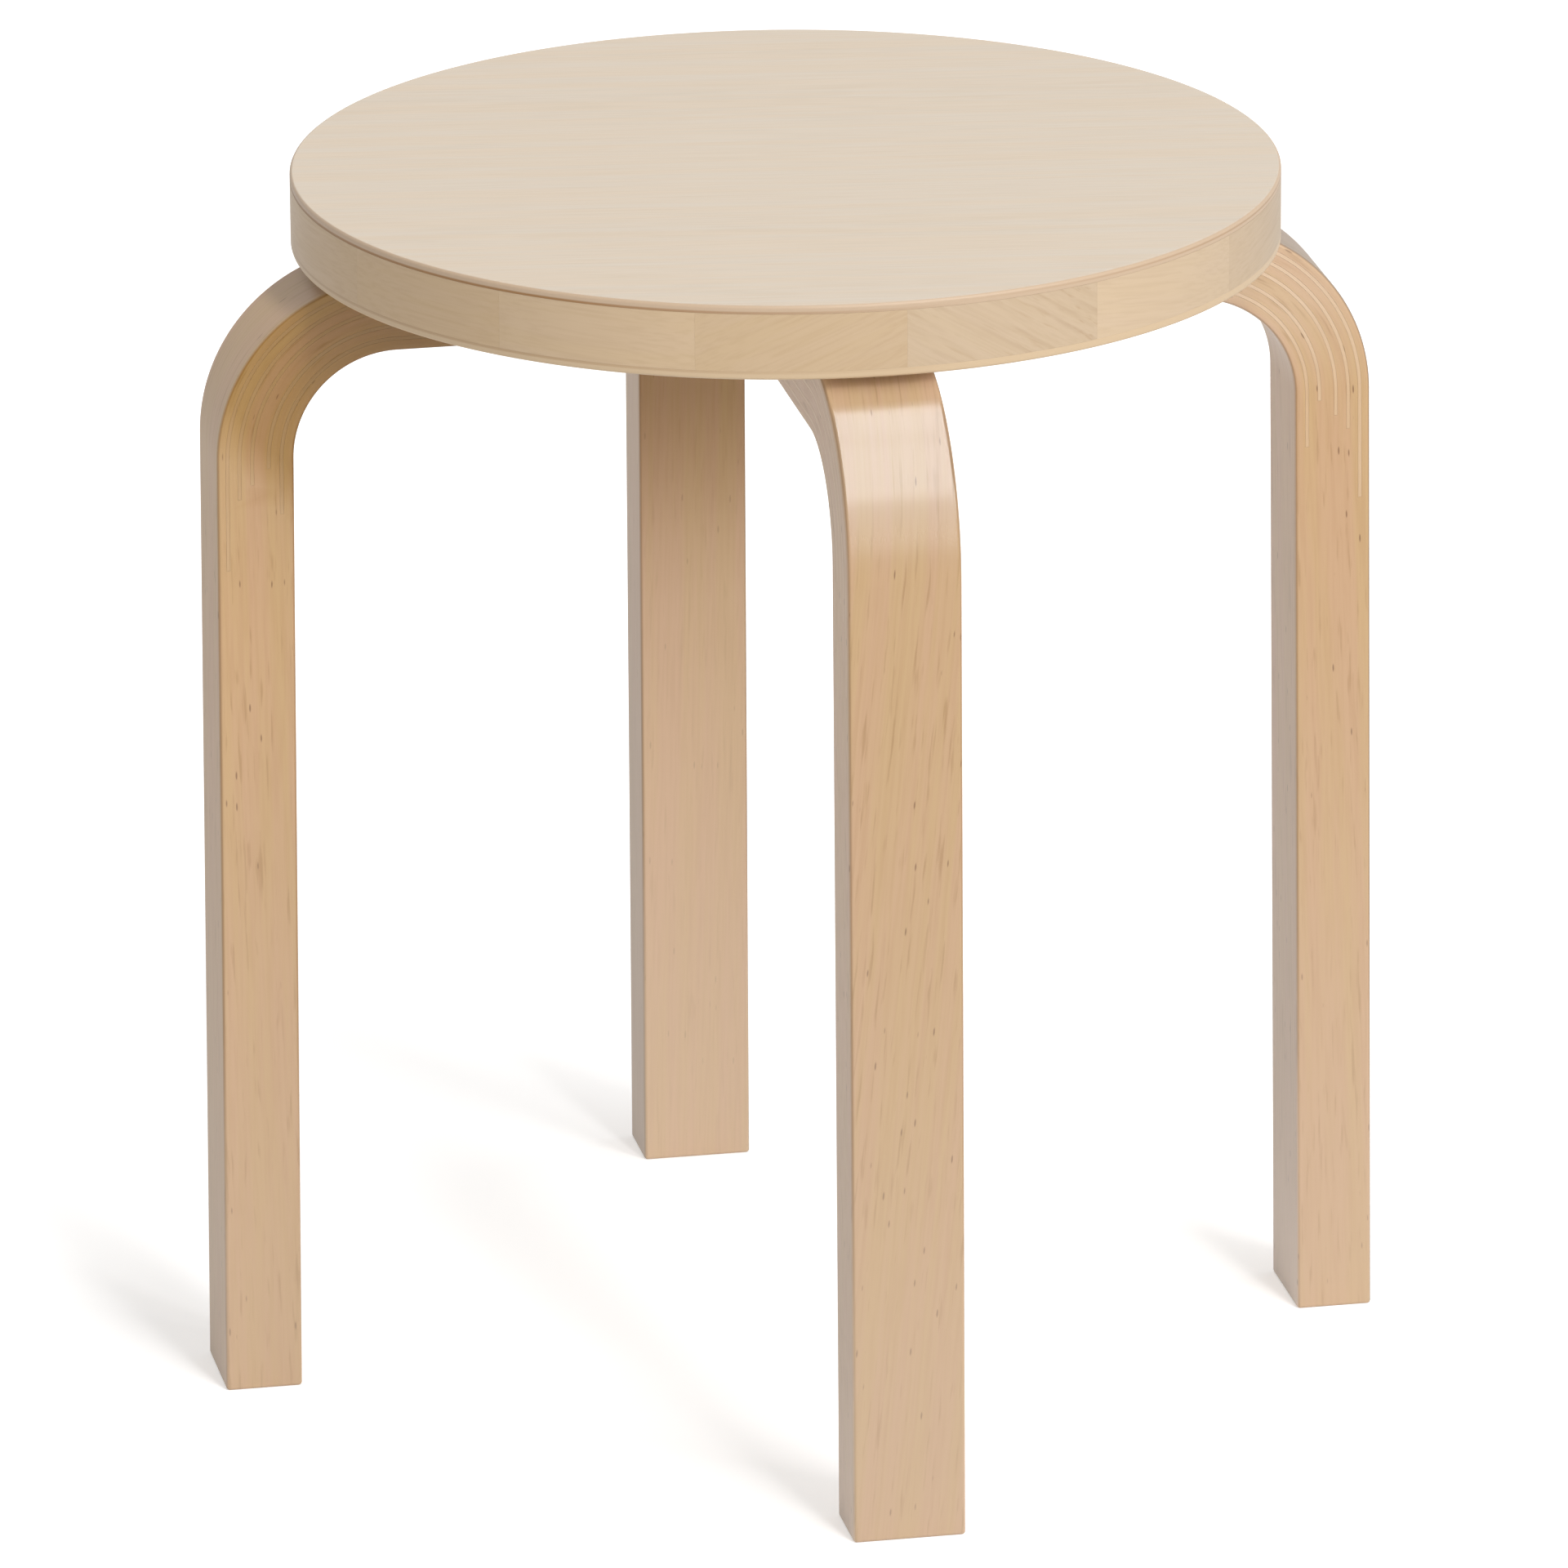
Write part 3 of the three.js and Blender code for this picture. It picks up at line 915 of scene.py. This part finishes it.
top_blank = face_sheet(rim_top, stool_height - rim_top, top_rounding, glue_line_easing)
top_model = keep_object(top_blank, "top_model")
top_sheet = placed_copy(
    top_model, "seat_face", Matrix(), sheet_grain(0), even_look(1.0),
    marks={"below_face": depth_below(stool_height)})
stand_for(top_sheet, "seat_top_sheet", face_birch)

bottom_blank = face_sheet(seat_bottom, rim_bottom - seat_bottom, glue_line_easing, bottom_rounding)
bottom_model = keep_object(bottom_blank, "bottom_model")
for board in leg_boards.values():
    for hole in holes:
        hole.matrix_world = Matrix.Rotation(math.radians(board["turn"]), 4, "Z")
    bpy.context.view_layer.update()
    carve(bottom_model, holes)
bottom_sheet = placed_copy(
    bottom_model, "seat_underface", Matrix(), sheet_grain(1.3), even_look(0.97),
    marks={"below_face": depth_below(seat_bottom)})
stand_for(bottom_sheet, "seat_bottom_sheet", underface_birch)
print("sheets:", len(top_sheet.data.vertices), "and", len(bottom_sheet.data.vertices), "vertices")

# %% [markdown]
# ## The core
# The disc inside the ring is closed in on all sides, so its CAD node stays as it is. It still gets
# wood of its own, on object coordinates, because a CAD mesh carries no grain attribute.

# %% Core wood
core_wood = bpy.data.materials.new("core_wood")
core_wood.use_nodes = True
core_tree = core_wood.node_tree
place = add_node(core_tree, "TexCoord").outputs["Object"]
staves = noise(core_tree, place, (3, 40, 3), 2)
fuzz = noise(core_tree, place, (30, 700, 700), 2)
core_colour = mix_colour(core_tree, staves, (0.58, 0.42, 0.26, 1), (0.48, 0.33, 0.19, 1))
core_colour = mix_colour(core_tree, fuzz, core_colour, (0.40, 0.27, 0.15, 1))
core_tree.links.new(core_colour, core_tree.nodes["Principled BSDF"].inputs["Base Color"])
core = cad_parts["seat_core"]
core.data.materials.clear()
core.data.materials.append(core_wood)
print("core wears", core.data.materials[0].name)

# %% Clear the workbench
models = [leg_model, screw_model, top_model, bottom_model, *veneer_models]
for model in [*models, *slots, *holes, *wedges]:
    bpy.data.objects.remove(model)

# %% [markdown]
# ## Floor and light
# The stool stands in a white studio. The floor is matt paint that takes the stool's shadow, and to
# the camera alone a little is added to it, which brings the lit floor to white and leaves the soft
# shadow at each foot. In a reflection the floor and the room are white too. Light comes from all
# round, from three strip lamps one above the other in front, each of which glows in the lacquer at
# another height of the front bend, and from a larger lamp on the right that lights the legs' sides.

# %% Floor
def ray_is(tree, *kinds):
    path = add_node(tree, "LightPath")
    seen = path.outputs[f"Is {kinds[0]} Ray"]
    for kind in kinds[1:]:
        either = {0: seen, 1: path.outputs[f"Is {kind} Ray"]}
        seen = add_node(tree, "Math", either, operation="MAXIMUM").outputs[0]
    return seen


pure_white = (1, 1, 1, 1)
floor_white = (0.93, 0.93, 0.93, 1)
floor_size = 20
floor_lift = 0.42  # added for the camera
mirrored_share = 0.92  # how much of the paint is plain white in a reflection

work = bmesh.new()
bmesh.ops.create_grid(work, x_segments=1, y_segments=1, size=floor_size)
floor = keep_object(work, "floor")
floor_paint = bpy.data.materials.new("floor_paint")
floor_paint.use_nodes = True
paint = floor_paint.node_tree
paint.nodes.clear()
matt = add_node(paint, "BsdfDiffuse", {"Color": floor_white})
white = add_node(paint, "Emission", {"Color": pure_white, "Strength": 1})
mirrored = multiply(paint, ray_is(paint, "Glossy", "Transmission"), mirrored_share)
seen = add_node(paint, "MixShader", {0: mirrored, 1: matt.outputs[0], 2: white.outputs[0]})
lift = multiply(paint, ray_is(paint, "Camera"), floor_lift)
glow = add_node(paint, "Emission", {"Color": pure_white, "Strength": lift})
lifted = add_node(paint, "AddShader", {0: seen.outputs[0], 1: glow.outputs[0]})
add_node(paint, "OutputMaterial", {"Surface": lifted.outputs[0]})
floor.data.materials.append(floor_paint)
print("floor has", len(paint.nodes), "nodes")

# %% World
world = bpy.data.worlds.new("studio")
bpy.context.scene.world = world
world.use_nodes = True
sky = world.node_tree
sky.nodes.clear()
room_light = (1, 0.99, 0.98, 1)
room_level = 0.43
soft = add_node(sky, "Background", {"Color": room_light, "Strength": room_level})
bright = add_node(sky, "Background", {"Color": pure_white, "Strength": 1})
seen_directly = ray_is(sky, "Camera", "Glossy", "Transmission")
room = add_node(sky, "MixShader", {0: seen_directly, 1: soft.outputs[0], 2: bright.outputs[0]})
add_node(sky, "OutputWorld", {"Surface": room.outputs[0]})
print("room lights the stool at", room_level)

# %% Lamps
lamp_distance = 9
strip_side, strip_width = 1.75, 0.8
aim_height = 0.3  # of the point that the strips face
key_side, key_watts = 2.6, 262


def panel(name, width, height, watts, place, turn):
    light = bpy.data.lights.new(name, "AREA")
    light.shape = "RECTANGLE"
    light.size = width
    light.size_y = height
    light.energy = watts
    made = bpy.data.objects.new(name, light)
    bpy.context.collection.objects.link(made)
    made.location = place
    made.rotation_mode = "QUATERNION"
    made.rotation_quaternion = turn


def strip_lamp(name, lift, height, watts):
    angle = math.radians(lift)
    up = aim_height + math.sin(angle) * lamp_distance
    place = (strip_side, -math.cos(angle) * lamp_distance, up)
    tilt = Matrix.Rotation(math.radians(90 - lift), 3, "X").to_quaternion()
    panel(name, strip_width, height, watts, place, tilt)


def direction(azimuth, lift):
    level = math.cos(lift)
    return Vector((math.sin(azimuth) * level, -math.cos(azimuth) * level, math.sin(lift)))


# Each strip has its lift in degrees, its height in metres and its watts.
strip_lamp("low_strip", 19, 4.8, 120)
strip_lamp("high_strip", 53, 6.2, 295)
strip_lamp("ceiling_strip", 84, 3.7, 160)
towards_key = direction(math.radians(37), math.radians(32))
key_turn = towards_key.to_track_quat("Z", "Y")
panel("key_lamp", key_side, key_side, key_watts, towards_key * lamp_distance, key_turn)

# %% [markdown]
# ## Camera
# The photograph was taken with a long lens from well above the seat, a little to the left of the
# front leg. The numbers were found by fitting the CAD sizes to the outlines in the photograph.

# %% Camera
camera_data = bpy.data.cameras.new("camera")
camera = bpy.data.objects.new("camera", camera_data)
bpy.context.collection.objects.link(camera)
bpy.context.scene.camera = camera

camera_distance, camera_height = 4.76462, 1.82566
around = math.radians(11.0902)
heading, pitch, roll = (math.radians(n) for n in (11.068, -18.7482, -0.3634))
forward = Vector((
    math.sin(heading) * math.cos(pitch), math.cos(heading) * math.cos(pitch), math.sin(pitch)))
sideways = Vector((math.cos(heading), -math.sin(heading), 0))
upward = sideways.cross(forward)
right = sideways * math.cos(roll) + upward * math.sin(roll)
up = -sideways * math.sin(roll) + upward * math.cos(roll)
stand = Vector((
    -camera_distance * math.sin(around), -camera_distance * math.cos(around), camera_height))
turned_axes = Matrix((right, up, -forward)).transposed()
camera.matrix_world = Matrix.Translation(stand) @ turned_axes.to_4x4()
camera_data.sensor_width = 36
camera_data.lens = 322.39  # in mm, as the sensor's width
camera_data.clip_start, camera_data.clip_end = 0.1, 100
print("camera at", [round(n, 3) for n in stand])

# %% Look
bpy.context.scene.view_settings.view_transform = "Standard"
